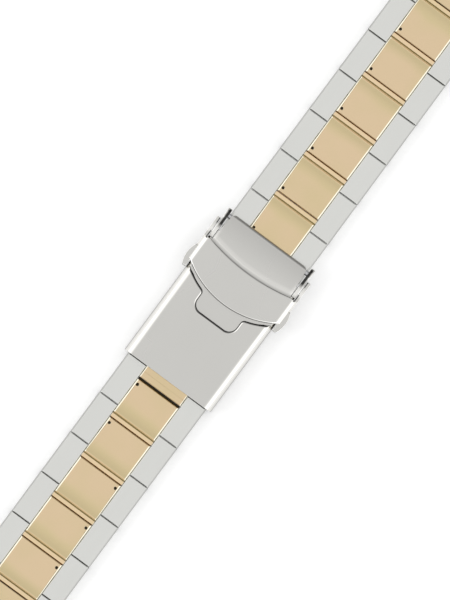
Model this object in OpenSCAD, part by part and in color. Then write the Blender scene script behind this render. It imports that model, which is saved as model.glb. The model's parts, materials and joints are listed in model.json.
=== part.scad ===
// Watch bracelet with a folding clasp, lying flat and closed, face up.
// X runs along the band, Y across it and Z up from the surface it lies on.
// Each row is two steel outer links, a gilt centre link and a hinge pin. A row's centre
// link reaches past its outers, and its round knuckle turns on the next row's pin.

/* [Band] */
// Width of the band
band_w = 18; // [16:0.5:22]
// Width of a gilt centre link
centre_w = 9.4; // [7.5:0.1:10.5]
// Thickness of a link
link_t = 2.8; // [2.7:0.1:3.2]
// Length of one row, seam to seam
pitch = 9.18; // [8.4:0.02:11]
// Distance from a row's seam to its hinge pin
hinge_in = 1.2; // [1.15:0.05:1.3]
// Radius of a centre link's knuckle
knuckle_r = 1.25; // [1.15:0.05:1.3]
// How far a centre link's flat top reaches past its pin
top_past = 0.15; // [0:0.05:0.3]
// Width of the groove between a centre link's top and its knuckle
groove_w = 0.3; // [0.1:0.01:0.4]
// Depth of that groove
groove_deep = 0.4; // [0.2:0.05:0.45]
// Gap between two rows at a seam
seam_gap = 0.12; // [0.12:0.01:0.2]
// Wider gap where the band meets the clasp cover
mouth_gap = 0.5; // [0.2:0.05:0.8]
// Gap between a centre link and its outer links
side_gap = 0.07; // [0.04:0.01:0.12]
// Bevel along the outer edges of the band
edge_bevel = 0.35; // [0.1:0.05:0.6]
// Bevel round the top of each link
top_bevel = 0.16; // [0.05:0.01:0.3]

/* [Pins] */
// Radius of a hinge pin
pin_r = 0.5; // [0.4:0.05:0.6]
// Running clearance round a pin
run_fit = 0.05; // [0.02:0.01:0.09]
// Clearance round a pin that is held fast
tight_fit = 0.01; // [0.005:0.005:0.02]
// How far a pin's ends lie below the side faces
pin_sink = 0.15; // [0.05:0.05:0.4]
// Radius of the pegs that join an outer link to its centre link
peg_r = 0.6; // [0.4:0.05:0.8]
// How far a peg enters the centre link
peg_in = 1.4; // [0.8:0.1:2]
// Radius of the small staking dimple on a centre link
dimple_r = 0.31; // [0.2:0.01:0.4]
// Depth of the staking dimple
dimple_deep = 0.5; // [0.2:0.05:0.6]

/* [End links] */
// Length of an end link from its seam
end_len = 10.9; // [10.2:0.1:12]
// Length of the bar housing across an end link
housing_len = 2.8; // [2.4:0.1:3.2]
// Radius of a spring bar's tube
tube_r = 0.85; // [0.8:0.05:0.95]
// Wall of a spring bar's tube
tube_wall = 0.2; // [0.15:0.05:0.25]
// Length of a spring bar's tube
tube_len = 16.8; // [14.5:0.1:17.4]
// Radius of a spring bar's exposed tip
tip_r = 0.35; // [0.3:0.05:0.4]
// How far a tip stands out of the end link
tip_out = 0.9; // [0.6:0.1:1.2]

/* [Clasp cover] */
// From the cover's band end to the axis of the flap's pin
cover_len = 31.4; // [30.6:0.1:34]
// Sheet thickness of the cover's side walls
wall_t = 0.8; // [0.6:0.05:1]
// Gap between the cover's walls and the band
wall_gap = 0.13; // [0.08:0.01:0.2]
// Height of the cover's top face
cover_top = 5; // [4.9:0.1:5.6]
// Thickness of the cover's roof
roof_t = 1; // [0.8:0.05:1.1]
// Height of the cover's lower edge
cover_low = 0.5; // [0.3:0.1:0.8]
// Radius of the cover's rounded long edges
cover_round = 1.8; // [0.6:0.1:1.9]
// Depth of the seat that the flap lies in
seat_deep = 0.55; // [0.45:0.05:0.6]
// Half width of the finger notch
notch_w = 4.5; // [3:0.1:6]
// Depth of the finger notch, along the band
notch_len = 2.9; // [2.2:0.1:3.8]
// Radius of the notch's inner corners
notch_r = 1.7; // [0.8:0.1:2]
// Radius where the notch opens into the seat
notch_flare = 0.9; // [0.4:0.1:1.2]
// Distance between two adjusting holes
adjust_step = 2.6; // [2.2:0.1:3]

/* [Flap] */
// Length of the flap's wide part at its sides
flap_side_len = 4.8; // [4:0.1:6]
// How far the middle of the flap's lip stands out past its sides
lip_bow = 3.6; // [2:0.1:4.2]
// Length of the flap's narrow part, crease to the axis of its pin
neck_len = 5.5; // [5:0.1:6.5]
// Thickness of the flap
flap_t = 0.8; // [0.6:0.05:0.9]
// Height lost at the crease
crease_drop = 0.15; // [0.05:0.05:0.25]
// How far the crease bows towards the lip
crease_bow = 1.05; // [0.6:0.05:1.4]
// Depth of the pressed valley behind the crease
valley_deep = 0.2; // [0.1:0.05:0.3]
// Radius of that valley
valley_r = 1.6; // [1:0.1:2.4]
// How much the flap's narrow part tapers, on each side
neck_taper = 0.45; // [0.2:0.05:0.7]
// Radius of the far corners of the flap's narrow part
neck_corner = 1; // [0.5:0.1:1.5]
// Radius of the flap's rolled hinge
roll_r = 0.85; // [0.75:0.05:0.9]
// Radius of the flap's rounded side edges
flap_round = 1.3; // [0.5:0.1:1.4]
// Thickness of the flap's side cheeks
cheek_t = 0.7; // [0.5:0.05:0.9]
// Height of the cheeks' lower edge
cheek_low = 2.6; // [2:0.1:3]
// How far an ear bulges out of its cheek
ear_out = 0.6; // [0.3:0.05:0.8]
// Length of an ear
ear_len = 4.8; // [3.6:0.1:5]

/* [Blades] */
// Thickness of a blade
blade_t = 0.9; // [0.7:0.05:0.95]
// Half width of the blades
blade_half = 6.3; // [5.5:0.1:7]
// Radius of the fold hinge's knuckles
fold_r = 1.05; // [1:0.01:1.1]
// Half width of the fold hinge's middle knuckle
fold_mid = 3; // [2:0.1:4]
// Radius of the rolled end that turns in the cover
lift_r = 0.95; // [0.9:0.01:1.05]

/* [Clasp layout] */
// From the cover's mouth to the spring bar that holds the band
bar_in = 4.1; // [3.9:0.1:4.4]
// From the cover's mouth to the fold hinge of the two blades
fold_in = 9.4; // [9.2:0.1:11]
// From the flap's pin back to the pin that the cover lifts on
lift_back = 7.4; // [7:0.1:9]
// Height of the pin that the cover lifts on
lift_z = 2.3; // [2.25:0.05:2.5]
// From the flap's pin back to the hinge pin of the band's other half
anchor_in = 1.3; // [1:0.1:1.5]
// Radius of the spring bar inside the cover
clasp_bar_r = 0.75; // [0.6:0.05:0.8]
// Radius of that bar's tips
clasp_tip_r = 0.4; // [0.3:0.05:0.45]
// Gap between the middle of the flap's lip and the edge of its seat
lip_gap = 0.8; // [0.5:0.1:1.2]
// Half width of the catch
catch_w = 1.6; // [1:0.1:3]
// Radius of the catch's round head
catch_r = 0.45; // [0.35:0.05:0.5]
// From the lift pin to the catch
catch_in = 2.6; // [2.4:0.1:3]

/* [Hidden] */
// Rows of three links on each side of the clasp, not counting the end links
a_rows = 6;
b_rows = 5;
bore_sides = 48;
round_sides = 96;
round_steps = 10;
over = 1;
steel = [0.80, 0.80, 0.79];
gilt = [0.85, 0.73, 0.52];
dark_steel = [0.55, 0.55, 0.56];

half_w = band_w / 2;
pin_z = link_t / 2;
outer_in = centre_w / 2 + side_gap;
low_bevel = edge_bevel / 2;
link_far = pitch - seam_gap;
centre_near = hinge_in + knuckle_r + seam_gap;
strip_bevel = 0.12;
dimple_in = 0.95;
dimple_edge = 0.6;
knuckle_x = pitch + hinge_in;
peg_x = (centre_near + link_far) / 2;
pin_end = half_w - pin_sink;

wall_in = half_w + wall_gap;
wall_out = wall_in + wall_t;
roof_low = cover_top - roof_t;
seat_z = cover_top - seat_deep;
fold_x = fold_in;
lift_x = cover_len - lift_back;
flap_x = cover_len;
flap_pin_z = seat_z - 0.4;
roof_end = cover_len - 3.2;
arm_root = 0.4;
crease_x = flap_x - neck_len;
lip_side_x = crease_x - flap_side_len;
lip_mid_x = lip_side_x - lip_bow;
arm_r = 1.3;
arm_low = flap_pin_z - arm_r;
cheek_gap = 0.12;
cheek_in = wall_out + cheek_gap;
cheek_out = cheek_in + cheek_t;
lip_r = (cheek_out * cheek_out + lip_bow * lip_bow) / (2 * lip_bow);
lip_centre_x = lip_mid_x + lip_r;
// The seat's edge closes in on the lip towards its sides
seat_shift = 2;
seat_r = lip_r + lip_gap - seat_shift;
seat_centre_x = lip_centre_x - seat_shift;
notch_x = lip_mid_x - lip_gap - notch_len;
flare_x = seat_centre_x - sqrt(pow(seat_r + notch_flare, 2) - pow(notch_w + notch_flare, 2));
flap_low = seat_z + 0.1;
flap_high = flap_low + flap_t;
neck_half = wall_in - 0.08;
neck_lap = 0.3;
neck_dip = 0.2;
neck_top = flap_high - crease_drop;
neck_end = flap_x + roll_r;
crease_r = (neck_half * neck_half + crease_bow * crease_bow) / (2 * crease_bow);
valley_in = 0.25;
neck_low = flap_low + 0.05;
neck_low_end = roof_end + 0.2;
roll_join = 0.15;
cheek_end_x = flap_x - 1.2;
cheek_lead = 0.8;
cheek_cut = 0.5;
cheek_join = 0.1;
ear_x = lip_side_x + 0.3;
ear_r = (ear_len * ear_len / 4 + ear_out * ear_out) / (2 * ear_out);
ear_z = flap_low - 0.65;
ear_top = flap_low + 0.4;

anchor_x = flap_x - anchor_in;
neck_x = anchor_x - hinge_in - 0.9;
blade_gap = 2 * fold_r - 2 * blade_t;
cross_end = wall_out - 0.05;
notch_clear = 0.15;
knuckle_gap = 0.12;
fold_end = blade_half - 0.1;
tee_half = wall_in - 0.18;
tee_len = 1.8;
post_x = lift_x + catch_in;
post_t = 0.4;
head_z = roof_low - catch_r - 0.1;
clip_gap = 0.15;
clip_t = 0.3;
clip_len = 0.9;

a_seam = anchor_x - hinge_in;
a_end_seam = a_seam + a_rows * pitch;
b_end_seam = b_rows * pitch;
a_reach = a_end_seam + end_len;
b_reach = b_end_seam + end_len;
x_mid = (a_reach - b_reach) / 2;

bar_x = end_len - pin_z;
bar_bore_r = tube_r + run_fit;
bar_gap = 0.08;
bar_play = 0.03;
crimp_len = 0.5;
crimp_step = 0.1;
tube_in = tube_r - tube_wall;
tube_end = tube_len / 2;
head_r = tube_in - bar_play;
head_len = 0.95;
shank_r = tube_in - crimp_step;
crimp_r = shank_r + bar_play;
head_out = tube_end - crimp_len;
spring_r = tube_in - bar_play;
spring_wall = 0.25;
spring_end = head_out - head_len - tip_out - bar_gap;
inner_near = bar_in + hinge_in;
inner_peg_x = -(bar_in - clasp_bar_r) / 2;

a_names = [for (i = [0:a_rows - 1]) str("a", i)];
b_names = [for (i = [1:b_rows]) str("b", i)];
row_nodes = [for (n = concat(a_names, b_names)) each [str(n, "_outers"), str(n, "_centre"), str(n, "_pin")]];
end_pieces = ["_link", "_centre", "_pin", "_tube", "_spring", "_tip_left", "_tip_right"];
end_nodes = [for (n = ["a_end", "b_end"]) each [for (p = end_pieces) str(n, p)]];
clasp_nodes = [
    "cover", "flap", "flap_pin", "long_blade", "short_blade", "fold_pin", "lift_pin",
    "catch_post", "catch_clip", "b0_outers", "b0_centre", "b0_bar"
];

// Points of an arc, for outlines
function arc(cx, cz, r, from, to, steps) =
    [for (i = [0:steps]) let(a = from + (to - from) * i / steps) [cx + r * cos(a), cz + r * sin(a)]];

// A round bar across the band, from y0 to y1
module rod(r, y0, y1)
    translate([0, y1, 0]) rotate([90, 0, 0]) cylinder(r = r, h = y1 - y0, $fn = bore_sides);

// A side outline in X and Z, given its width from y0 to y1
module across(y0, y1)
    translate([0, y1, 0]) rotate([90, 0, 0]) linear_extrude(y1 - y0) children();

// A cross-section in Y and Z, drawn out along the band from x0 to x1
module along(x0, x1)
    translate([x0, 0, 0]) rotate([90, 0, 90]) linear_extrude(x1 - x0) children();

module both_sides() {
    children();
    mirror([0, 1, 0]) children();
}

// Places a half band: the first seam at x, running away from the clasp
module a_side(row) translate([a_seam + row * pitch, 0, 0]) children();
module b_side(row) mirror([1, 0, 0]) translate([row * pitch, 0, 0]) children();

// Side outline of an outer link: round below its pin, bevelled along the top
module outer_side(far) {
    polygon([
        [hinge_in, 0], [far, 0], [far, link_t - top_bevel], [far - top_bevel, link_t],
        [top_bevel, link_t], [0, link_t - top_bevel], [0, pin_z], [hinge_in, pin_z]
    ]);
    translate([hinge_in, pin_z]) circle(r = hinge_in, $fn = bore_sides);
}

// Cross-section of the outer link on the +Y side
module outer_section()
    polygon([
        [outer_in, 0], [half_w - low_bevel, 0], [half_w, low_bevel], [half_w, link_t - edge_bevel],
        [half_w - edge_bevel, link_t], [outer_in + top_bevel, link_t], [outer_in, link_t - top_bevel]
    ]);

// Cross-section of a centre link
module centre_section() {
    h = centre_w / 2;
    polygon([
        [top_bevel - h, 0], [h - top_bevel, 0], [h, top_bevel], [h, link_t - top_bevel],
        [h - top_bevel, link_t], [top_bevel - h, link_t], [-h, link_t - top_bevel], [-h, top_bevel]
    ]);
}

module peg(x) translate([x, 0, pin_z]) rod(peg_r, centre_w / 2 - peg_in, outer_in + over);

module peg_bores(x)
    both_sides() translate([x, 0, pin_z]) rod(peg_r + tight_fit, centre_w / 2 - peg_in - tight_fit, half_w);

// The pair of outer links of one row, with the pegs that carry its centre link
module outers(far, peg_at, bore_r)
    color(steel) both_sides() difference() {
        union() {
            intersection() {
                across(outer_in, half_w) outer_side(far);
                along(-over, far + over) outer_section();
            }
            peg(peg_at);
        }
        translate([hinge_in, 0, pin_z]) rod(bore_r, outer_in - over, half_w + over);
    }

// Side outline of a centre link. Its knuckle is round below, and has a flat strip on top at
// strip_z. A groove parts the strip from the link's own top
module centre_side(near, far_pin, strip_z, groove_low) {
    top_end = far_pin + top_past;
    tip = far_pin + knuckle_r;
    difference() {
        union() {
            polygon([
                [near, 0], [top_end, 0], [top_end, link_t - top_bevel], [top_end - top_bevel, link_t],
                [near + top_bevel, link_t], [near, link_t - top_bevel]
            ]);
            polygon([
                [far_pin, pin_z], [tip, pin_z], [tip, strip_z - strip_bevel], [tip - strip_bevel, strip_z],
                [far_pin, strip_z]
            ]);
            translate([far_pin, pin_z]) circle(r = knuckle_r, $fn = bore_sides);
        }
        translate([top_end, groove_low]) square([groove_w, link_t]);
    }
}

// A centre link. side is +1 or -1, the edge that its staking dimple is near
module centre(near, side)
    color(gilt) difference() {
        intersection() {
            across(-centre_w / 2, centre_w / 2) {
                centre_side(near, knuckle_x, pin_z + knuckle_r, link_t - groove_deep);
                // at the clasp's mouth only the upper half stands back
                if (near > centre_near)
                    translate([centre_near, 0]) square([near - centre_near + mouth_gap, pin_z]);
            }
            along(centre_near - over, knuckle_x + knuckle_r + over) centre_section();
        }
        translate([knuckle_x, 0, pin_z]) rod(pin_r + run_fit, -half_w, half_w);
        peg_bores(peg_x);
        translate([near + dimple_in, side * (centre_w / 2 - dimple_edge), link_t - dimple_deep])
            cylinder(r = dimple_r, h = over, $fn = bore_sides);
    }

module hinge_pin() color(dark_steel) translate([hinge_in, 0, pin_z]) rod(pin_r, -pin_end, pin_end);

// The end link that meets the watch: two limbs and a bored housing across them
module end_link()
    color(steel) difference() {
        union() {
            both_sides() intersection() {
                across(outer_in, half_w) {
                    outer_side(bar_x);
                    translate([bar_x, pin_z]) circle(r = pin_z, $fn = bore_sides);
                }
                along(-over, end_len + over) outer_section();
            }
            across(-half_w + edge_bevel, half_w - edge_bevel) {
                translate([end_len - housing_len, 0]) square([housing_len - pin_z, link_t]);
                translate([bar_x, pin_z]) circle(r = pin_z, $fn = bore_sides);
            }
            both_sides() peg(peg_x);
        }
        translate([bar_x, 0, pin_z]) rod(bar_bore_r, -half_w - over, half_w + over);
        translate([hinge_in, 0, pin_z]) rod(pin_r + tight_fit, -half_w - over, half_w + over);
    }

module end_centre()
    color(gilt) difference() {
        intersection() {
            across(-centre_w / 2, centre_w / 2) polygon([
                [centre_near, 0], [end_len - housing_len, 0], [end_len - housing_len, link_t - top_bevel],
                [end_len - housing_len - top_bevel, link_t], [centre_near + top_bevel, link_t],
                [centre_near, link_t - top_bevel]
            ]);
            along(centre_near - over, end_len) centre_section();
        }
        peg_bores(peg_x);
    }

// The spring bar's tube, crimped in at both ends to keep its two tips
module bar_tube()
    color(dark_steel) translate([bar_x, 0, pin_z]) difference() {
        rod(tube_r, -tube_end, tube_end);
        rod(tube_in, -head_out, head_out);
        rod(crimp_r, -tube_end - over, tube_end + over);
    }

// The spring inside the tube, drawn as a sleeve at the length it is pressed to
module bar_spring()
    color(dark_steel) translate([bar_x, 0, pin_z]) difference() {
        rod(spring_r, -spring_end, spring_end);
        rod(spring_r - spring_wall, -spring_end - over, spring_end + over);
    }

// One sprung tip of the bar, on the +Y side: head, shank and the tip itself
module bar_tip()
    color(dark_steel) translate([bar_x, 0, pin_z]) {
        rod(head_r, head_out - head_len, head_out - bar_play);
        rod(shank_r, head_out - head_len, half_w);
        rod(tip_r, head_out - head_len, half_w + tip_out);
    }

// The last links of the lower half, which sit inside the cover on a spring bar
module inner_outers()
    color(steel) translate([-inner_near, 0, 0]) outers(inner_near - seam_gap, inner_near + inner_peg_x,
        clasp_bar_r + run_fit);

module inner_centre()
    color(gilt) difference() {
        intersection() {
            across(-centre_w / 2, centre_w / 2) {
                centre_side(-bar_in, hinge_in, link_t, link_t);
                translate([-bar_in, pin_z]) circle(r = hinge_in, $fn = bore_sides);
            }
            along(-inner_near - over, hinge_in + knuckle_r + over) centre_section();
        }
        translate([hinge_in, 0, pin_z]) rod(pin_r + run_fit, -half_w, half_w);
        translate([-bar_in, 0, pin_z]) rod(clasp_bar_r + run_fit, -half_w, half_w);
        peg_bores(inner_peg_x);
    }

module clasp_bar()
    color(dark_steel) translate([bar_in, 0, pin_z]) {
        rod(clasp_bar_r, bar_gap - wall_in, wall_in - bar_gap);
        rod(clasp_tip_r, -cross_end, cross_end);
    }

// Outline of the cover in Y and Z, with rounded long edges
module cover_section()
    polygon(concat(
        [[-wall_out, cover_low], [wall_out, cover_low]],
        arc(wall_out - cover_round, cover_top - cover_round, cover_round, 0, 90, round_steps),
        arc(cover_round - wall_out, cover_top - cover_round, cover_round, 90, 180, round_steps)
    ));

// Plan of the seat that the flap's lip lies in, with its finger notch
module seat_plan() {
    translate([seat_centre_x, 0]) circle(r = seat_r, $fn = round_sides);
    for (side = [-1, 1]) difference() {
        polygon([
            [flare_x, side * notch_w], [flare_x, side * (notch_w + notch_flare)], [seat_centre_x, 0]
        ]);
        translate([flare_x, side * (notch_w + notch_flare)]) circle(r = notch_flare, $fn = bore_sides);
    }
    translate([notch_x + notch_r, -notch_w]) square([notch_len + notch_r, 2 * notch_w]);
    translate([notch_x, notch_r - notch_w]) square([notch_len, 2 * (notch_w - notch_r)]);
    for (y = [notch_r - notch_w, notch_w - notch_r])
        translate([notch_x + notch_r, y]) circle(r = notch_r, $fn = bore_sides);
}

module cover()
    color(steel) difference() {
        union() {
            difference() {
                along(0, roof_end) cover_section();
                translate([0, 0, seat_z]) linear_extrude(over + seat_deep) seat_plan();
            }
            // two arms that carry the flap's pin
            both_sides() across(wall_in, wall_out) {
                translate([crease_x + arm_root, arm_low]) square([neck_len - arm_root, cover_top - arm_low]);
                translate([flap_x, flap_pin_z]) circle(r = arm_r, $fn = bore_sides);
            }
        }
        translate([-over, -wall_in, -over]) cube([roof_end + 2 * over, 2 * wall_in, over + roof_low]);
        translate([flap_x, 0, flap_pin_z]) rod(pin_r + tight_fit, -wall_out - over, wall_out + over);
        translate([lift_x, 0, lift_z]) rod(pin_r + tight_fit, -wall_out - over, wall_out + over);
        for (x = [bar_in, bar_in + adjust_step])
            translate([x, 0, pin_z]) rod(clasp_tip_r + run_fit, -wall_out - over, wall_out + over);
    }

// Outline of the flap's wide part in Y and Z
module flap_section()
    polygon(concat(
        [[-cheek_out, cheek_low], [cheek_out, cheek_low]],
        arc(cheek_out - flap_round, flap_high - flap_round, flap_round, 0, 90, round_steps),
        arc(flap_round - cheek_out, flap_high - flap_round, flap_round, 90, 180, round_steps)
    ));

// The flap's narrow part: a plate with round far corners and a rolled hinge
module flap_neck()
    intersection() {
        across(-neck_half, neck_half) {
            polygon([
                [crease_x - neck_lap, neck_low], [neck_low_end, neck_low],
                [flap_x, flap_pin_z + roll_join], [flap_x, flap_pin_z + roll_r],
                [crease_x, neck_top], [crease_x - neck_lap, neck_top - neck_dip]
            ]);
            translate([flap_x, flap_pin_z]) circle(r = roll_r, $fn = bore_sides);
        }
        linear_extrude(cover_top + over) {
            end_half = neck_half - neck_taper;
            round_x = neck_end - neck_corner;
            polygon([
                [crease_x - neck_lap, -neck_half], [round_x, -end_half], [neck_end, neck_corner - end_half],
                [neck_end, end_half - neck_corner], [round_x, end_half], [crease_x - neck_lap, neck_half]
            ]);
            for (y = [neck_corner - end_half, end_half - neck_corner])
                translate([round_x, y]) circle(r = neck_corner, $fn = bore_sides);
        }
    }

// What is cut away behind the bowed crease: a step down, and a valley at its foot
module crease_cut()
    translate([crease_x - crease_bow + crease_r, 0, neck_top]) {
        cylinder(r = crease_r, h = over, $fn = round_sides);
        intersection() {
            translate([0, 0, -over]) cylinder(r = crease_r, h = 2 * over, $fn = round_sides);
            rotate_extrude($fn = round_sides) translate([crease_r - valley_in, valley_r - valley_deep])
                circle(r = valley_r, $fn = bore_sides);
        }
    }

// The flap: a wide lip, a narrower neck with a rolled hinge, and two side cheeks with ears
module flap()
    color(steel) difference() {
        union() {
            intersection() {
                along(lip_mid_x - over, crease_x) difference() {
                    flap_section();
                    translate([-cheek_in, 0]) square([2 * cheek_in, flap_low]);
                }
                translate([lip_centre_x, 0, 0]) cylinder(r = lip_r, h = cover_top + over, $fn = round_sides);
            }
            flap_neck();
            both_sides() across(cheek_in, cheek_out) polygon([
                [lip_side_x - cheek_lead, cheek_low + cheek_cut], [lip_side_x, cheek_low],
                [cheek_end_x - cheek_cut, cheek_low], [cheek_end_x, cheek_low + cheek_cut],
                [cheek_end_x, flap_low - cheek_cut], [crease_x, flap_low + cheek_join],
                [lip_side_x, flap_low + cheek_join], [lip_side_x - cheek_lead, flap_low - cheek_cut]
            ]);
            both_sides() intersection() {
                across(cheek_in, cheek_out + ear_out) intersection() {
                    translate([ear_x, ear_z]) circle(r = ear_len / 2, $fn = bore_sides);
                    translate([ear_x - ear_len, cheek_low]) square([2 * ear_len, ear_top - cheek_low]);
                }
                translate([ear_x, cheek_out + ear_out - ear_r, 0])
                    cylinder(r = ear_r, h = cover_top, $fn = round_sides);
            }
        }
        crease_cut();
        translate([flap_x, 0, flap_pin_z]) rod(pin_r + run_fit, -half_w - over, half_w + over);
    }

module flap_pin()
    color(dark_steel) translate([flap_x, 0, flap_pin_z]) rod(pin_r, -cross_end, cross_end);

module lift_pin()
    color(dark_steel) translate([lift_x, 0, lift_z]) rod(pin_r, -cross_end, cross_end);

module fold_pin()
    color(dark_steel) translate([fold_x, 0, fold_r]) rod(pin_r, -fold_end, fold_end);

// The blade that lies lowest: the fold hinge's middle knuckle, and the knuckle of the band's other half
module long_blade()
    color(steel) difference() {
        union() {
            plate_x = fold_x + fold_r + notch_clear;
            translate([plate_x, -blade_half, 0]) cube([neck_x - plate_x, 2 * blade_half, blade_t]);
            translate([fold_x, -fold_mid, 0]) cube([plate_x - fold_x + over, 2 * fold_mid, blade_t]);
            translate([neck_x - over, -centre_w / 2, 0]) cube([anchor_x - neck_x + over, centre_w, blade_t]);
            translate([fold_x, 0, fold_r]) rod(fold_r, -fold_mid, fold_mid);
            translate([anchor_x, 0, pin_z]) rod(knuckle_r, -centre_w / 2, centre_w / 2);
        }
        translate([fold_x, 0, fold_r]) rod(pin_r + run_fit, -half_w, half_w);
        translate([anchor_x, 0, pin_z]) rod(pin_r + run_fit, -half_w, half_w);
    }

// The blade that folds out between the long blade and the cover
module short_blade()
    color(steel) difference() {
        union() {
            plate_x = fold_x + fold_r + notch_clear;
            translate([plate_x, -blade_half, blade_t + blade_gap])
                cube([lift_x - plate_x, 2 * blade_half, blade_t]);
            translate([lift_x - tee_len, -tee_half, blade_t + blade_gap])
                cube([tee_len, 2 * tee_half, blade_t]);
            both_sides() {
                translate([fold_x, fold_mid + knuckle_gap, blade_t + blade_gap])
                    cube([plate_x - fold_x + over, blade_half - fold_mid - knuckle_gap, blade_t]);
                translate([fold_x, 0, fold_r]) rod(fold_r, fold_mid + knuckle_gap, blade_half);
            }
            translate([lift_x, 0, lift_z]) rod(lift_r, -tee_half, tee_half);
        }
        translate([fold_x, 0, fold_r]) rod(pin_r + tight_fit, -half_w, half_w);
        translate([lift_x, 0, lift_z]) rod(pin_r + run_fit, -half_w - over, half_w + over);
    }

// The post on the long blade that the cover snaps on to
module catch_post()
    color(dark_steel) {
        translate([post_x - post_t / 2, -catch_w, blade_t]) cube([post_t, 2 * catch_w, head_z - blade_t]);
        translate([post_x, 0, head_z]) rod(catch_r, -catch_w, catch_w);
    }

// The sprung clip under the roof that grips the post's head
module catch_clip()
    color(dark_steel)
        for (x = [-catch_r - clip_gap - clip_t, catch_r + clip_gap])
            translate([post_x + x, -catch_w, roof_low - clip_len]) cube([clip_t, 2 * catch_w, clip_len]);

module end_piece(piece) {
    if (piece == "_link") end_link();
    if (piece == "_centre") end_centre();
    if (piece == "_pin") hinge_pin();
    if (piece == "_tube") bar_tube();
    if (piece == "_spring") bar_spring();
    if (piece == "_tip_left") bar_tip();
    if (piece == "_tip_right") mirror([0, 1, 0]) bar_tip();
}

module placed() translate([-x_mid, 0, 0]) children();

placed() cover();
placed() flap();
placed() flap_pin();
placed() long_blade();
placed() short_blade();
placed() fold_pin();
placed() lift_pin();
placed() catch_post();
placed() catch_clip();
placed() b_side(0) inner_outers();  // b0_outers
placed() b_side(0) inner_centre();  // b0_centre
placed() clasp_bar();  // b0_bar
for (i = [0:a_rows - 1]) {
    placed() a_side(i) outers(link_far, peg_x, pin_r + tight_fit);
    placed() a_side(i) centre(centre_near, 1);
    placed() a_side(i) hinge_pin();
}
for (i = [1:b_rows]) {
    mouth = i == 1 ? mouth_gap - seam_gap : 0;
    placed() b_side(i - 1) outers(link_far, peg_x, pin_r + tight_fit);
    placed() b_side(i - 1) centre(centre_near + mouth, i < 3 ? 1 : -1);
    placed() b_side(i - 1) hinge_pin();
}
for (p = end_pieces) {
    placed() a_side(a_rows) end_piece(p);
    placed() b_side(b_rows) end_piece(p);
}
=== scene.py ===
# %% [markdown]
# # A two-tone watch bracelet
# The packed model holds every link, pin and blade at its real size, in metres, lying flat with its face
# up. This script leaves those sizes alone. It rounds edges, repeats the links along the band, and gives
# each metal its finish. Small parts are drawn in millimetres and brought to metres at the end, because
# tiny numbers make a mesh hard to read.

# %% Load the packed model
import json
import math
import bmesh
import bpy
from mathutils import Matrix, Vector
from mathutils.bvhtree import BVHTree

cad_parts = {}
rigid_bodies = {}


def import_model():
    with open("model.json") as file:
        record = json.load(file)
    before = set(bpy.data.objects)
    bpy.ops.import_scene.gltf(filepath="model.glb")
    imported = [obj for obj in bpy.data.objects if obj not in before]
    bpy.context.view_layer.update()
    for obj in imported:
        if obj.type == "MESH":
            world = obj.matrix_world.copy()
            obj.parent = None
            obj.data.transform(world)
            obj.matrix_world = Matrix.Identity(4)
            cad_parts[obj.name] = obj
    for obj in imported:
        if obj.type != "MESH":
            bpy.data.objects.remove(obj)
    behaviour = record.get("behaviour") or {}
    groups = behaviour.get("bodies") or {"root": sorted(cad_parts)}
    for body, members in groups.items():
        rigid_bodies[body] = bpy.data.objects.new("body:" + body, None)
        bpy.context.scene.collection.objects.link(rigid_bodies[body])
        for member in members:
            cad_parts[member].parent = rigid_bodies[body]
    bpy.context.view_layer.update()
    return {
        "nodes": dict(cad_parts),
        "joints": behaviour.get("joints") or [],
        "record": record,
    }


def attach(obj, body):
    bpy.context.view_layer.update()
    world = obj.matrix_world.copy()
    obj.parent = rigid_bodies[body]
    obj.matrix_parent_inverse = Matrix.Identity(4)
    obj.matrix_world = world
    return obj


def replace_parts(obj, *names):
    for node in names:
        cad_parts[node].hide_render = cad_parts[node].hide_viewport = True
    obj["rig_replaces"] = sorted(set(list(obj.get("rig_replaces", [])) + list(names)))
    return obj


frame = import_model()
MM = 0.001
pins = {joint["child"]: joint["pos_m"][0] for joint in frame["joints"] if joint["type"] == "hinge"}
PITCH = pins["a2"] - pins["a1"]


# %% [markdown]
# ## The camera
# The photograph looks straight down on the bracelet, which runs up to the right across the picture. A
# band 18 mm wide covers 97 pixels there, so a pixel is 0.186 mm. A long lens far away keeps the sides of
# the links out of sight, as the photograph does. The camera is only turned about the vertical.

# %% Place the camera over the band
PIXEL = 0.186 * MM
LONG_SIDE = 600 * PIXEL
BAND_TILT = math.radians(36.5)
AIM = Vector((-0.64 * MM, 0.35 * MM, 2.8 * MM))
LENS = 200.0
SENSOR = 36.0
CLIP_END = 10

lens_data = bpy.data.cameras.new("camera")
lens_data.lens = LENS
lens_data.sensor_width = SENSOR
lens_data.clip_end = CLIP_END
distance = LONG_SIDE / 2 / (SENSOR / 2 / LENS)
camera = bpy.data.objects.new("camera", lens_data)
camera.location = AIM + Vector((0, 0, distance))
camera.rotation_euler = (0, 0, BAND_TILT - math.pi / 2)
bpy.context.collection.objects.link(camera)
bpy.context.scene.camera = camera
bpy.context.scene.view_settings.view_transform = "Standard"
print("camera", round(distance, 3), "m above the links")


# %% [markdown]
# ## A small language for shaders
# Wiring nodes by hand hides the idea behind a finish. A Wire wraps one socket and answers to + - * and
# /, so a pattern is written as the formula it is. A Sheet is the tree being written. One method makes any
# other node, and the rest are short names for what every finish asks: where a point is, which way the
# surface faces there, and how far a number lies inside a range.

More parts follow.
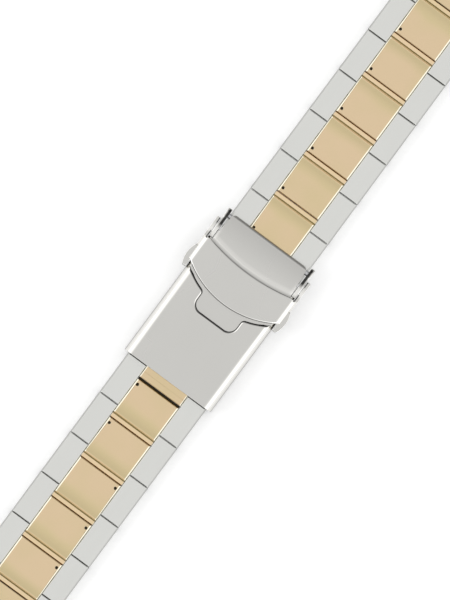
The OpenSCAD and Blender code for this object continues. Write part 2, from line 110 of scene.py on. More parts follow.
# %% Write shader maths as Python
class Wire:
    """One output socket of a node tree, with arithmetic."""

    def __init__(self, tree, socket):
        self.tree = tree
        self.socket = socket

    def maths(self, kind, first, second):
        node = self.tree.nodes.new("ShaderNodeMath")
        node.operation = kind
        for slot, value in zip(node.inputs, (first, second)):
            if isinstance(value, Wire):
                self.tree.links.new(value.socket, slot)
            else:
                slot.default_value = value
        return Wire(self.tree, node.outputs[0])

    def __add__(self, other):
        return self.maths("ADD", self, other)

    def __radd__(self, other):
        return self.maths("ADD", other, self)

    def __sub__(self, other):
        return self.maths("SUBTRACT", self, other)

    def __rsub__(self, other):
        return self.maths("SUBTRACT", other, self)

    def __mul__(self, other):
        return self.maths("MULTIPLY", self, other)

    def __rmul__(self, other):
        return self.maths("MULTIPLY", other, self)

    def __truediv__(self, other):
        return self.maths("DIVIDE", self, other)

    def __rtruediv__(self, other):
        return self.maths("DIVIDE", other, self)

    def __neg__(self):
        return self.maths("MULTIPLY", self, -1.0)

    def __abs__(self):
        return self.maths("ABSOLUTE", self, 0.0)


print("a Wire can", [name.strip("_") for name, what in vars(Wire).items() if callable(what)])

# %% A sheet to write a finish on
# the places of three outputs of a Texture Coordinate node
GENERATED = 0
NORMAL = 1
OBJECT = 3


class Sheet:
    """A node tree being written: a material's or the world's."""

    def __init__(self, tree):
        self.tree = tree
        tree.nodes.clear()

    def node(self, kind, settings=None, **sockets):
        """Makes any node. A ramp's stops are a setting. A socket goes by its name, or by s and its number."""
        node = self.tree.nodes.new(kind)
        for key, value in (settings or {}).items():
            if key == "ramp":
                for stop, (at, colour) in zip(node.color_ramp.elements, value):
                    stop.position = at
                    stop.color = (*colour, 1)
            else:
                setattr(node, key, value)
        for key, value in sockets.items():
            slot = node.inputs[int(key[1:])] if key[1:].isdigit() else node.inputs[key.replace("_", " ")]
            if isinstance(value, Wire):
                self.tree.links.new(value.socket, slot)
                continue
            if isinstance(value, tuple) and len(slot.default_value) == 4:
                value = (*value, 1)
            slot.default_value = value
        return node

    def add(self, kind, settings=None, out=0, **sockets):
        """Makes a node and gives one of its outputs."""
        return Wire(self.tree, self.node(kind, settings, **sockets).outputs[out])

    def axes(self, vector):
        """The X, Y and Z of a vector, each as a number."""
        return [Wire(self.tree, number) for number in self.node("ShaderNodeSeparateXYZ", s0=vector).outputs]

    def place(self):
        """Where a point is in its object, as a vector in metres."""
        return self.add("ShaderNodeTexCoord", out=OBJECT)

    def place_mm(self):
        """Where a point is in its object, as X, Y and Z in millimetres."""
        return [number / MM for number in self.axes(self.place())]

    def slope(self):
        """Which way the surface faces, as the X, Y and Z of its normal."""
        return self.axes(self.add("ShaderNodeTexCoord", out=NORMAL))

    def rise(self, value, low, high):
        """Nought where value is below low and one where it is above high."""
        return self.add("ShaderNodeClamp", Value=(value - low) / (high - low))

    def fall(self, value, low, high):
        """One where value is below low and nought where it is above high."""
        return self.rise(-value, -high, -low)

    def near(self, value, middle, inner, outer):
        """One where value is within inner of the middle and nought where it is farther than outer."""
        return self.fall(abs(value - middle), inner, outer)

    def blend(self, share, first, last, low=0.0, high=1.0):
        """A colour that goes from first, where share is low, to last, where it is high."""
        return self.add("ShaderNodeValToRGB", {"ramp": ((low, first), (high, last))}, Fac=share)

    def noise(self, vector, scale, detail):
        return self.add("ShaderNodeTexNoise", Vector=vector, Scale=scale, Detail=detail)


def new_material(name):
    material = bpy.data.materials.new(name)
    material.use_nodes = True
    return material, Sheet(material.node_tree)


print("a Sheet can", [name for name in vars(Sheet) if not name.startswith("_")])

# %% [markdown]
# ## Light, sky and floor
# Metal has no colour of its own to speak of: it shows what is round it. The photograph's metal is even on
# top, white along its long rounded edges, and grey where it turns down towards a seam. So the sky here is
# a plain dome with a long bright panel on each side of the band, a weaker one beyond the clasp, and less
# light near the horizon. Light Path keeps that sky for reflections, and gives the camera a white one.

# %% Make the sky
# the direction that a ray takes has an X along the band, a Y aside from it, and a Z for its height, and
# each pair of numbers is the range over which a light comes in or goes out
WHITE = (1.0, 1.0, 1.0)
TOP_LIGHT = 1.00
HORIZON_LIGHT = 0.38
DOME_HEIGHT = (0.35, 0.80)
RING_LIGHT = 0.12
RING_FOOT = (0.50, 0.70)
RING_TOP = (0.84, 0.95)
SIDE_PANEL = 1.25
PANEL_ASIDE = (0.18, 0.50)
PANEL_HEIGHT = (0.06, 0.24)
PANEL_FOOT = 0.80
CLASP_PANEL = 0.25
CLASP_PANEL_ALONG = (0.25, 0.55)
CLASP_PANEL_TOP = (0.55, 0.85)
SKY_FILL = 0.80

# the places of two outputs of a Light Path node
PATH = "ShaderNodeLightPath"
CAMERA_RAY = 0
GLOSSY_RAY = 3

world = bpy.data.worlds.new("studio")
bpy.context.scene.world = world
world.use_nodes = True
sky = Sheet(world.node_tree)
along, aside, height = sky.axes(sky.add("ShaderNodeTexCoord", out=GENERATED))
ring = sky.rise(height, *RING_FOOT) - sky.rise(height, *RING_TOP)
plain = HORIZON_LIGHT + (TOP_LIGHT - HORIZON_LIGHT) * sky.rise(height, *DOME_HEIGHT) + ring * RING_LIGHT
panel = sky.rise(abs(aside), *PANEL_ASIDE) * (PANEL_FOOT + (1 - PANEL_FOOT) * sky.rise(height, *PANEL_HEIGHT))
clasp_panel = sky.rise(-along, *CLASP_PANEL_ALONG) * sky.fall(height, *CLASP_PANEL_TOP)
dome = plain + panel * (SIDE_PANEL - plain) + clasp_panel * CLASP_PANEL
is_camera = sky.add(PATH, out=CAMERA_RAY)
is_glossy = sky.add(PATH, out=GLOSSY_RAY)
backdrop = sky.add("ShaderNodeBackground", Color=WHITE, Strength=1.0)
seen = sky.add("ShaderNodeBackground", Color=WHITE, Strength=dome)
fill = sky.add("ShaderNodeBackground", Color=WHITE, Strength=SKY_FILL)
lit = sky.add("ShaderNodeMixShader", s0=is_glossy, s1=fill, s2=seen)
shown = sky.add("ShaderNodeMixShader", s0=is_camera, s1=lit, s2=backdrop)
sky.node("ShaderNodeOutputWorld", Surface=shown)
print("sky nodes", len(world.node_tree.nodes))


# %% Hang two lamps that reflections don't show
def lamp(name, place, size, power):
    data = bpy.data.lights.new(name, "AREA")
    data.shape = "RECTANGLE"
    data.size, data.size_y = size
    data.energy = power
    obj = bpy.data.objects.new(name, data)
    obj.location = place
    obj.rotation_euler = (-Vector(place)).to_track_quat("-Z", "Y").to_euler()
    obj.visible_glossy = False
    bpy.context.collection.objects.link(obj)


lamp("key_lamp", place=(-0.5, 0.7, 0.8), size=(0.5, 0.5), power=2.0)
lamp("rim_lamp", place=(0.7, -0.5, 0.6), size=(0.3, 0.6), power=1.0)
print("lamps", len(bpy.data.lights))

# %% Lay the floor
FLOOR_HALF = 1.5
FLOOR_WHITE = (0.86, 0.86, 0.86)
FLOOR_GLOW = 0.30

bm = bmesh.new()
bmesh.ops.create_grid(bm, x_segments=1, y_segments=1, size=FLOOR_HALF)
floor_mesh = bpy.data.meshes.new("floor")
bm.to_mesh(floor_mesh)
bm.free()
floor = bpy.data.objects.new("floor", floor_mesh)
bpy.context.collection.objects.link(floor)
floor_paint, sheet = new_material("floor_paint")
glow = sheet.add(PATH, out=CAMERA_RAY) * FLOOR_GLOW
matte = sheet.add("ShaderNodeBsdfDiffuse", Color=FLOOR_WHITE)
shine = sheet.add("ShaderNodeEmission", Color=WHITE, Strength=glow)
sheet.node("ShaderNodeOutputMaterial", Surface=sheet.add("ShaderNodeAddShader", s0=matte, s1=shine))
floor_mesh.materials.append(floor_paint)
print("floor", floor.dimensions[:2])


# %% [markdown]
# ## The metals
# Five finishes cover the bracelet. The outer links, the clasp and its blades are satin steel: a belt has
# drawn fine lines over them, which the eye reads as a slightly uneven gloss. The pins are turned steel.
# The centre links are gilt and nearly polished. The seams, the grooves and the pits of a link are
# painted darker, as painted shade. They are found from the height and the slope of the surface itself.
# Each pattern reads Object coordinates, and every piece sits at the origin, so the lines run on from
# one piece to the next as if the whole band had been brushed together.

# %% Where shade is painted on a link
# depths are in millimetres under the link's face, and a slope is the normal's length along one axis
LINK_TOP = max(v.co.z for v in frame["nodes"]["a0_outers"].data.vertices) / MM
HOLLOW_DEPTH = (0.26, 0.38)
HOLLOW_SIDES = (0.55, 0.75)
HOLLOW_UP = (-0.6, -0.4)
PIT_DEPTH = (0.42, 0.47)
SIDE_SLOPE = (0.30, 0.60)

# in millimetres from the band's centre line, where a pin comes out of the links
PIN_SHOWS = (8.2, 8.4)

# how much painted shade darkens each place
DEEP_SHADE = 0.93
HOLLOW_SHADE = 0.76
SIDE_SHADE = 0.10


def link_depth(sheet):
    return LINK_TOP - sheet.place_mm()[2]


# the seams, grooves and pits found here are painted darker: painted shade
def link_hollows(sheet):
    """One in the seams, grooves and pits of a link, and nought on its face, its sides and its back."""
    sideways, up = sheet.slope()[1:]
    low = sheet.rise(link_depth(sheet), *HOLLOW_DEPTH)
    return low * sheet.fall(abs(sideways), *HOLLOW_SIDES) * sheet.rise(up, *HOLLOW_UP)


# the dimples found here are painted dark: painted shade
def link_pits(sheet):
    """One in the staking dimples, which are deeper than any groove."""
    return sheet.rise(link_depth(sheet), *PIT_DEPTH) * link_hollows(sheet)


def link_shade(sheet):
    """Paints shade on the hollows of a steel link and on its sloping sides."""
    side = sheet.rise(abs(sheet.slope()[1]), *SIDE_SLOPE)
    return (1 - link_hollows(sheet) * HOLLOW_SHADE) * (1 - side * SIDE_SHADE)


def pin_shade(sheet):
    """Paints shade on the length of a pin that the links hide."""
    return 1 - sheet.fall(abs(sheet.place_mm()[1]), *PIN_SHOWS) * DEEP_SHADE


print("link face at", round(LINK_TOP, 2), "mm")

# %% [markdown]
# ### Light and dark on the clasp
# The clasp gets painted highlights over its rounded edges and painted shade inside its slits. Its neck
# bends away from the light, and its crease catches the light on one side and loses it on the other; this
# is painted into its colour as well. The bevels and edges are found by their slope. The slits, the neck
# and the crease are found by where they lie on the clasp, and the crease is a shallow arc: it runs
# farther out the farther it is from the middle.

# %% Where the clasp gets painted shade and painted highlights
# in millimetres, ahead is along the band from the model's origin, and across is from its centre line. A
# pair is the range over which a place comes in or goes out. Three numbers are a place's middle, how far
# from that it is whole, and how far it reaches
INSIDE_WALLS = (9.0, 9.3)
UPRIGHT_ACROSS = (9.1, 9.4)
UPRIGHT_SLOPE = (0.66, 0.86)
ROLL_AHEAD = (12.2, 12.4)
ROLL_SHADE_LIFT = 0.85
SLIT_AHEAD = (9.3, 10.3)
SLIT_ACROSS = (9.32, 0.26, 0.42)
ARM_GAP_ACROSS = (10.05, 0.12, 0.26)
ARM_GAP_AHEAD = (8.9, 2.2, 2.4)
ARM_GAP_CLOSED = (9.1, 0.7, 1.0)
GAP_SLOPE = (0.3, 0.6)
NECK_AHEAD = (7.8, 12.8)
CREASE_MIDDLE = 5.87
CREASE_RUN = 76.5
CREASE_SLOPE = (0.12, 0.32)
CREASE_AHEAD = (8.0, 9.0)
CREASE_LINE = (0.0, 0.10, 0.36)
CREASE_LIGHT = (1.0, 0.10, 0.60)
SHOULDER_PAST = (0.3, 0.8)
SHOULDER_AHEAD = (8.8, 10.2)
SHOULDER_ACROSS = (8.3, 9.0)
BEVEL_SLOPE = (0.12, 0.34)
BEVEL_UP = (0.30, 0.50)
LIP_SLOPE = (0.32, 0.50)
LIP_UP = (0.10, 0.30)

# how much painted shade darkens, or a painted highlight lightens, each place
PAINTED_SHADE = {"upright": DEEP_SHADE, "gap": DEEP_SHADE, "neck": 0.18, "crease": 0.70, "line": 0.30}
PAINTED_HIGHLIGHT = {"bevel": 0.65, "lip": 0.75, "shoulder": 0.35, "valley": 0.12}


def clasp_places(sheet):
    """The places on the clasp that get painted shade or a painted highlight, each one there and nought
    elsewhere.
    """
    ahead, across = sheet.place_mm()[:2]
    across = abs(across)
    facing, sideways, up = sheet.slope()
    inside = sheet.fall(across, *INSIDE_WALLS)
    walls = sheet.fall(across, *UPRIGHT_ACROSS) * sheet.fall(abs(up), *UPRIGHT_SLOPE)
    slit = sheet.rise(ahead, *SLIT_AHEAD) * sheet.near(across, *SLIT_ACROSS)
    arm_gap = sheet.near(across, *ARM_GAP_ACROSS) * sheet.near(ahead, *ARM_GAP_AHEAD)
    arm_gap = arm_gap * (1 - sheet.near(ahead, *ARM_GAP_CLOSED))
    past = ahead - CREASE_MIDDLE - across * across / CREASE_RUN
    shoulder = sheet.rise(past, *SHOULDER_PAST) * sheet.fall(ahead, *SHOULDER_AHEAD)
    # upright, gap, neck, crease and line take painted shade; bevel, lip, shoulder and valley take painted
    # highlights
    return {
        "upright": walls * (1 - sheet.rise(ahead, *ROLL_AHEAD) * ROLL_SHADE_LIFT),
        "gap": (slit + arm_gap) * sheet.rise(up, *GAP_SLOPE),
        "neck": sheet.rise(ahead, *NECK_AHEAD) * inside,
        "crease": sheet.rise(facing, *CREASE_SLOPE) * inside * sheet.fall(ahead, *CREASE_AHEAD),
        "line": sheet.near(past, *CREASE_LINE) * inside,
        "bevel": sheet.rise(abs(sideways), *BEVEL_SLOPE) * sheet.rise(up, *BEVEL_UP),
        "lip": sheet.rise(-facing, *LIP_SLOPE) * sheet.rise(up, *LIP_UP),
        "shoulder": shoulder * sheet.rise(across, *SHOULDER_ACROSS),
        "valley": sheet.near(past, *CREASE_LIGHT) * inside,
    }


def clasp_shade(sheet):
    """Paints shade on the clasp's hidden and turned away places, and painted highlights on its bevels and
    lip.
    """
    places = clasp_places(sheet)
    tone = 1 + sum(places[name] * share for name, share in PAINTED_HIGHLIGHT.items())
    for name, share in PAINTED_SHADE.items():
        tone = tone * (1 - places[name] * share)
    return tone


print("places on the clasp", len(PAINTED_SHADE) + len(PAINTED_HIGHLIGHT))

# %% [markdown]
# ### Steel
# A belt leaves long fine scratches that all run one way, and they could be modelled one by one. A noise
# drawn out along them gives the same gloss and costs no triangles. A coarser noise adds the deeper
# scratches, and a cloud lets the gloss wander, as it does where metal is held to the belt by hand.

# %% Satin steel and turned steel
# a noise's scale is in waves to the metre, and its values lie about MEAN. A line is STRETCH times as long
# as it is wide, and shows SWING times as much in the gloss as in the tone
STRETCH = 14.0
GRAIN = 5200.0
COARSER = 5
CLOUD = 90.0
MEAN = 0.5
SWING = 2
SCRATCH_DEPTH = 0.02 * MM
LINK_GREY = (0.672, 0.674, 0.648)
CLASP_GREY = (0.585, 0.577, 0.552)
BLADE_GREY = (0.62, 0.62, 0.61)
PIN_GREY = (0.50, 0.50, 0.51)


def drawn_out(sheet, across=False):
    """Object coordinates in which a noise turns to lines along the band, or across it."""
    squeeze = (STRETCH, 1, 1) if across else (1, STRETCH, STRETCH)
    return sheet.add("ShaderNodeMapping", {"vector_type": "POINT"}, Vector=sheet.place(), Scale=squeeze)


def end_as_metal(sheet, colour, tone, rough, height, strength):
    """Ends a sheet as a bare metal, of a colour and a tone, that is bumpy by its height."""
    paint = sheet.add("ShaderNodeVectorMath", {"operation": "SCALE"}, s0=colour, Scale=tone)
    bump = sheet.add("ShaderNodeBump", Strength=strength, Distance=SCRATCH_DEPTH, Height=height)
    metal = sheet.add(
        "ShaderNodeBsdfPrincipled", Base_Color=paint, Metallic=1.0, Roughness=rough, Normal=bump)
    sheet.node("ShaderNodeOutputMaterial", Surface=metal)


def brushed(name, colour, rough, drift, line, shade=None, across=False):
    """Steel with fine lines. drift is how far its tone wanders, and line how much the lines show."""
    material, sheet = new_material(name)
    lines_at = drawn_out(sheet, across)
    lines = sheet.noise(lines_at, GRAIN / STRETCH, detail=3.0)
    coarse = sheet.noise(lines_at, GRAIN / STRETCH / COARSER, detail=2.0)
    cloud = sheet.noise(sheet.place(), CLOUD, detail=1.5)
    tone = 1.0 + (cloud - MEAN) * drift + (lines - MEAN) * line + (coarse - MEAN) * line
    if shade:
        tone = tone * shade(sheet)
    gloss = rough + (lines - MEAN) * line * SWING + (cloud - MEAN) * drift
    end_as_metal(sheet, colour, tone, gloss, lines + coarse, line)
    return material


link_steel = brushed("link_steel", LINK_GREY, rough=0.24, drift=0.03, line=0.03, shade=link_shade)
clasp_steel = brushed(
    "clasp_steel", CLASP_GREY, rough=0.27, drift=0.06, line=0.002, shade=clasp_shade, across=True)
blade_steel = brushed("blade_steel", BLADE_GREY, rough=0.24, drift=0.05, line=0.05)
pin_steel = brushed("pin_steel", PIN_GREY, rough=0.28, drift=0.04, line=0.08, shade=pin_shade, across=True)
for steel in (link_steel, clasp_steel, blade_steel, pin_steel):
    print(steel.name, len(steel.node_tree.nodes), "nodes")

# %% [markdown]
# ### Gilt
# The long edges of a centre link are paler: a painted highlight. Its far end has a groove and then a
# narrow strip. Towards the groove the face turns greener and takes painted shade, and the strip takes a
# painted highlight. How far a point lies from its row's hinge pin comes with the mesh, as the attribute
# "along".

# %% The gilt of the centre links
GILT_ROSE = (0.704, 0.545, 0.352)
GILT_GREEN = (0.652, 0.533, 0.312)
# colours of the painted shade in the groove and the seams, and of the painted highlight on the long edges
GILT_GROOVE_SHADE = (0.31, 0.29, 0.16)
GILT_SEAM_SHADE = (0.60, 0.60, 0.52)
GILT_BEVEL_HIGHLIGHT = (0.93, 0.88, 0.72)
BLACK = (0.0, 0.0, 0.0)

# in millimetres past the next row's pin, the range over which each place comes in
GREENER = (-3.0, -0.6)
DARKENING = (-2.7, -0.7)
STRIP = (-0.15, -0.05)
FAR_SEAM = (0.7, 0.9)

# in millimetres from the row's own pin, the range over which the seam there goes out
NEAR_SEAM = (2.0, 3.0)

# the slopes at which the gold gets a painted highlight, and how much each place and each noise does
HIGHLIGHT_SLOPE = (0.10, 0.30)
STRIP_HIGHLIGHT = 0.11
GROOVE_SHADE_SHARE = 0.10
GREEN_SHARE = 0.45
PATCH_SHARE = 0.8
PATCHES = 130.0
HUE_LOW = 0.34
HUE_HIGH = 0.72
GILT_GRAIN = 420.0
GILT_LINE = 0.03
GILT_ROUGH = 0.17
GILT_UNEVEN = 0.05

# the place of an Attribute node's number among its outputs
FACTOR = 2


def gilt_metal():
    material, sheet = new_material("gilt")
    along = sheet.add("ShaderNodeAttribute", {"attribute_name": "along"}, out=FACTOR)
    past = along - PITCH / MM
    strip = sheet.rise(past, *STRIP)
    patches = sheet.noise(sheet.place(), PATCHES, detail=1.0)
    hue = patches * PATCH_SHARE + sheet.rise(past, *GREENER) * GREEN_SHARE * (1 - strip)
    colour = sheet.blend(hue, GILT_ROSE, GILT_GREEN, HUE_LOW, HUE_HIGH)
    seam = sheet.fall(along, *NEAR_SEAM) + sheet.rise(past, *FAR_SEAM)
    # the seams and the groove of the gold are painted darker: painted shade
    for where, deep in ((seam, GILT_SEAM_SHADE), (1 - seam, GILT_GROOVE_SHADE)):
        hollow = sheet.blend(link_hollows(sheet) * where, WHITE, deep)
        colour = sheet.add("ShaderNodeVectorMath", {"operation": "MULTIPLY"}, s0=colour, s1=hollow)
    # the long sloping edges are painted pale: a painted highlight
    bevel_highlight = sheet.blend(sheet.rise(abs(sheet.slope()[1]), *HIGHLIGHT_SLOPE), BLACK, GILT_BEVEL_HIGHLIGHT)
    colour = sheet.add("ShaderNodeVectorMath", {"operation": "MAXIMUM"}, s0=colour, s1=bevel_highlight)
    lines = sheet.noise(drawn_out(sheet), GILT_GRAIN, detail=2.0)
    # towards the groove the face takes painted shade, and the strip a painted highlight
    darker = sheet.rise(past, *DARKENING) * (1 - strip)
    tone = 1.0 + (lines - MEAN) * GILT_LINE + strip * STRIP_HIGHLIGHT - darker * darker * GROOVE_SHADE_SHARE
    rough = GILT_ROUGH + (lines - MEAN) * GILT_UNEVEN
    # the dimples are painted dark: painted shade
    end_as_metal(sheet, colour, tone * (1 - link_pits(sheet) * DEEP_SHADE), rough, lines, GILT_LINE)
    return material


gilt = gilt_metal()
print(gilt.name, len(gilt.node_tree.nodes), "nodes")


# %% [markdown]
# ## Shaping tools
# The packed model has true sizes but knife edges, and a real bracelet has none: links are tumbled and the
# clasp is polished after stamping. Each piece starts from the node's own mesh, so it fits by
# construction. Facets that lie in one plane are joined first. Then every edge sharper than a limit is
# cut back by a small radius. The big flat faces keep their own normals, so they reflect evenly.

# %% Find and round the keen edges
# lengths are in millimetres, and ALONG_BAND is the least X of an edge's direction
KEEN = math.radians(32)
PROUD = 0.005
ALONG_BAND = 0.9
FACE_BAND = 0.03
SIDE_LENGTH = 0.8


def keen_edges(bm):
    return [e for e in bm.edges if len(e.link_faces) == 2 and e.calc_face_angle(0) > KEEN]


def corners(verts):
    """The lowest and the highest corner of the box round some vertices."""
    return [[pick(v.co[i] for v in verts) for i in range(3)] for pick in (min, max)]


def rounded(bm, edges, radius, steps=3):
    """Rounds some edges. A corner that the cut throws clear of the old surface is set back on it."""
    surface = BVHTree.FromBMesh(bm)
    low, high = corners(bm.verts)
    bmesh.ops.bevel(bm, geom=edges, offset=radius, offset_type="OFFSET", segments=steps, profile=0.5,
                    affect="EDGES", clamp_overlap=False, miter_outer="SHARP", miter_inner="SHARP")
    for vert in bm.verts:
        nearest, normal, _, away = surface.find_nearest(vert.co)
        if away > radius or (vert.co - nearest).dot(normal) > PROUD:
            vert.co = nearest
        vert.co = [min(max(vert.co[i], low[i]), high[i]) for i in range(3)]


def all_ends(test):
    """Picks the keen edges whose two ends both pass a test on their place."""
    return lambda bm: [e for e in keen_edges(bm) if all(test(v.co) for v in e.verts)]


def long_edges(bm):
    """The keen edges that run along the band."""
    return [e for e in keen_edges(bm) if abs((e.verts[0].co - e.verts[1].co).normalized().x) > ALONG_BAND]


def face_sides(bm):
    """The two long edges of a link's flat face."""
    at_face = [e for e in long_edges(bm) if all(v.co.z > LINK_TOP - FACE_BAND for v in e.verts)]
    return [e for e in at_face if e.calc_length() > SIDE_LENGTH]


print("keen over", round(math.degrees(KEEN)), "degrees")

# %% Say which edge gets which radius
EDGE = 0.07
FINE_EDGE = 0.04
SEAM_EDGE = 0.10
GILT_EDGE = 0.20
SEAT_EDGE = 0.42
LIP_EDGE = 0.34

# where the seat in the cover and the lip of the flap lie, counted from the mouth, the crease and the top
FLAP_TOP = max(v.co.z for v in frame["nodes"]["flap"].data.vertices) / MM
MOUTH = min(v.co.x for v in frame["nodes"]["cover"].data.vertices) / MM
CREASE = 5.2
SEAT_FROM_MOUTH = 10
SEAT_LOW = 4.8
SEAT_REACH = 0.4
LIP_FROM_CREASE = 1.5
LIP_REACH = 0.3


def on_seat(at):
    return MOUTH + SEAT_FROM_MOUTH < at.x < CREASE and SEAT_LOW < at.z < SEAT_LOW + SEAT_REACH


def on_lip(at):
    return at.x < CREASE - LIP_FROM_CREASE and at.z > FLAP_TOP - LIP_REACH


# for each kind of node, the edges that are rounded before the rest, with their radius and its steps
LARGE = {
    "centre": (face_sides, GILT_EDGE, 4),
    "outers": (long_edges, FINE_EDGE, 2),
    "cover": (all_ends(on_seat), SEAT_EDGE, 5),
    "flap": (all_ends(on_lip), LIP_EDGE, 5),
}
REST = {"outers": SEAM_EDGE, "cover": SEAM_EDGE, "centre": FINE_EDGE}
print("kinds with edges of their own", sorted(LARGE))

# %% Soften a packed node
# a turned pin is sunk a little inside a rim at each end, where the lathe's centre held it
TURNED = ("pin", "bar")
END_RIM = 0.18
END_SINK = 0.06
FLAT_END = 0.99

# vertices closer than this are one, and facets that meet at less than this angle are one face
SAME_PLACE = 1e-4
FLAT = math.radians(1.5)

slots = {part["node"]: part["material_slot"] for part in frame["record"]["subparts"]}
bodies = {node: body for body, group in frame["record"]["behaviour"]["bodies"].items() for node in group}


def softened(node):
    """A node's mesh as a bmesh in millimetres, with whole flat faces and rounded edges."""
    bm = bmesh.new()
    bm.from_mesh(frame["nodes"][node].data)
    bmesh.ops.scale(bm, vec=(1 / MM,) * 3, verts=bm.verts)
    bmesh.ops.remove_doubles(bm, verts=bm.verts, dist=SAME_PLACE)
    bmesh.ops.dissolve_limit(bm, angle_limit=FLAT, verts=bm.verts, edges=bm.edges)
    kind = node.rpartition("_")[2]
    if kind in LARGE:
        pick, radius, steps = LARGE[kind]
        rounded(bm, pick(bm), radius, steps)
    rounded(bm, keen_edges(bm), REST.get(kind, EDGE))
    if kind in TURNED:
        ends = [face for face in bm.faces if abs(face.normal.y) > FLAT_END]
        bmesh.ops.inset_individual(bm, faces=ends, thickness=END_RIM, depth=-END_SINK)
    along = bm.verts.layers.float.new("along")
    for vert in bm.verts:
        vert[along] = abs(vert.co.x - pins.get(bodies[node], 0) / MM)
    return bm


# %% Turn a softened node into a piece
SHARP = math.radians(40)


def even_and_baked(piece):
    """Swaps a piece's modifiers for the plain mesh that they give, with flat faces shaded flat."""
    weights = piece.modifiers.new("even faces", "WEIGHTED_NORMAL")
    weights.keep_sharp = True
    mesh = bpy.data.meshes.new_from_object(piece.evaluated_get(bpy.context.evaluated_depsgraph_get()))
    piece.modifiers.clear()
    piece.data = mesh
    mesh.name = piece.name
    return piece


def to_piece(name, bm, material):
    """Makes a millimetre bmesh an object in metres, smooth but for its sharp edges."""
    bmesh.ops.scale(bm, vec=(MM,) * 3, verts=bm.verts)
    for face in bm.faces:
        face.smooth = True
        face.material_index = 0
    for edge in bm.edges:
        edge.smooth = len(edge.link_faces) == 2 and edge.calc_face_angle(0) < SHARP
    mesh = bpy.data.meshes.new(name)
    bm.to_mesh(mesh)
    bm.free()
    mesh.materials.append(material)
    piece = bpy.data.objects.new(name, mesh)
    bpy.context.collection.objects.link(piece)
    return even_and_baked(piece)


def fit(piece, node):
    """Puts a piece in a node's place: it rides on the same body and the node is hidden."""
    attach(piece, bodies[node])
    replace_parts(piece, node)
    return piece


print("slots", sorted(set(slots.values())))


# %% [markdown]
# ## The rows of links
# A bracelet factory presses one outer link and one centre link by the thousand. Here too one of each is
# made, with its hinge pin at the origin, and a node tree sets it in its place on the band. The lower half
# runs the other way, so its links are mirrored and their faces turned back outwards.

# %% One node tree that sets a link in its row
ROW_INPUTS = {"Link": "Object", "Pin": "Float", "Pitch": "Float", "Row": "Int", "Way": "Vector",
              "Flip": "Bool", "Finish": "Material"}


def link_row_tree():
    tree = bpy.data.node_groups.new("link_row", "GeometryNodeTree")
    for name, kind in ROW_INPUTS.items():
        tree.interface.new_socket(name, in_out="INPUT", socket_type="NodeSocket" + kind)
    tree.interface.new_socket("Geometry", in_out="OUTPUT", socket_type="NodeSocketGeometry")

    def node(kind, **settings):
        made = tree.nodes.new(kind)
        for key, value in settings.items():
            setattr(made, key, value)
        return made

    def wire(source, target):
        tree.links.new(source, target)

    given = node("NodeGroupInput").outputs
    link = node("GeometryNodeObjectInfo")
    wire(given["Link"], link.inputs["Object"])
    step = node("ShaderNodeMath", operation="MULTIPLY_ADD")
    for source, target in zip((given["Row"], given["Pitch"], given["Pin"]), step.inputs):
        wire(source, target)
    place = node("ShaderNodeCombineXYZ")
    wire(step.outputs[0], place.inputs["X"])
    turned = node("GeometryNodeTransform")
    wire(link.outputs["Geometry"], turned.inputs["Geometry"])
    wire(given["Way"], turned.inputs["Scale"])
    wire(place.outputs[0], turned.inputs["Translation"])
    outward = node("GeometryNodeFlipFaces")
    wire(turned.outputs[0], outward.inputs["Mesh"])
    wire(given["Flip"], outward.inputs["Selection"])
    real = node("GeometryNodeRealizeInstances")
    wire(outward.outputs[0], real.inputs[0])
    painted = node("GeometryNodeSetMaterial")
    wire(real.outputs[0], painted.inputs["Geometry"])
    wire(given["Finish"], painted.inputs["Material"])
    wire(painted.outputs[0], node("NodeGroupOutput").inputs[0])
    return tree


link_row = link_row_tree()
INPUT = {item.name: item.identifier for item in link_row.interface.items_tree if item.in_out == "INPUT"}
print("inputs of a row", list(INPUT))


# %% Make one link of each kind
FINISH = {"brushed_steel": link_steel, "clasp_steel": clasp_steel, "gilt": gilt, "pin_steel": pin_steel}


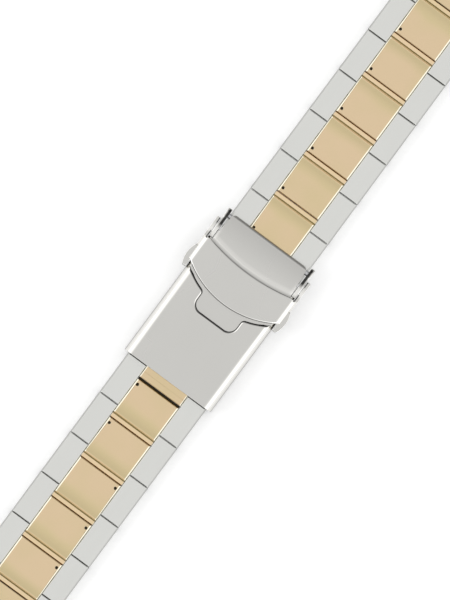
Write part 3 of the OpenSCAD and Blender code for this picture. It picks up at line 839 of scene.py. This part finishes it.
def at_pin(node, body):
    """A softened node moved so that its row's hinge pin is at X = 0."""
    bm = softened(node)
    bmesh.ops.translate(bm, vec=(-pins[body] / MM, 0, 0), verts=bm.verts)
    base = to_piece(node + "_base", bm, FINISH[slots[node]])
    base.hide_render = True
    return base


outer_base = at_pin("a0_outers", "a0")
centre_base = at_pin("a0_centre", "a0")
print("faces of a base link", len(outer_base.data.polygons), len(centre_base.data.polygons))

# %% Fill the rows
# from the third row below the clasp the centre links lie with their dimple at the other side
A_ROWS = 6
B_ROWS = 5
DIMPLE_SWITCH = 3


def in_row(node, base, way, row, pin, finish):
    """A base link set in one row. way is its scale: -1 in X mirrors it, -1 in X and Y turns it round."""
    mesh = bpy.data.meshes.new(node)
    piece = bpy.data.objects.new(node + "_shown", mesh)
    bpy.context.collection.objects.link(piece)
    tree = piece.modifiers.new("link_row", "NODES")
    tree.node_group = link_row
    values = (base, pin, PITCH * way[0], row, way, way[0] * way[1] < 0, finish)
    for name, value in zip(ROW_INPUTS, values):
        tree[INPUT[name]] = value
    return fit(even_and_baked(piece), node)


for row in range(A_ROWS):
    in_row(f"a{row}_outers", outer_base, (1, 1, 1), row, pins["a0"], link_steel)
    in_row(f"a{row}_centre", centre_base, (1, 1, 1), row, pins["a0"], gilt)
for row in range(1, B_ROWS + 1):
    side = 1 if row < DIMPLE_SWITCH else -1
    in_row(f"b{row}_outers", outer_base, (-1, 1, 1), row - 1, pins["b1"], link_steel)
    if row > 1:
        in_row(f"b{row}_centre", centre_base, (-1, side, 1), row - 1, pins["b1"], gilt)
print("rows", A_ROWS, B_ROWS)

# %% [markdown]
# ## The clasp, the pins and the end links
# These pieces are each unlike the others, or too few to be worth a node tree, so each is softened where it
# lies. The clasp's blades take a plainer steel than its cover, since no place on them gets painted shade
# or a painted highlight.

# %% The rest of the pieces, one by one
BLADES = ("long_blade", "short_blade")

done ={name for obj in bpy.data.objects for name in obj.get("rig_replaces", [])}
for node in sorted(set(slots) - done):
    finish = blade_steel if node in BLADES else FINISH[slots[node]]
    fit(to_piece(node + "_shown", softened(node), finish), node)

# %% [markdown]
# ## The base links go
# The two base links have done their work, so they go.

# %% Close the scene
for base in (outer_base, centre_base):
    bpy.data.objects.remove(base)
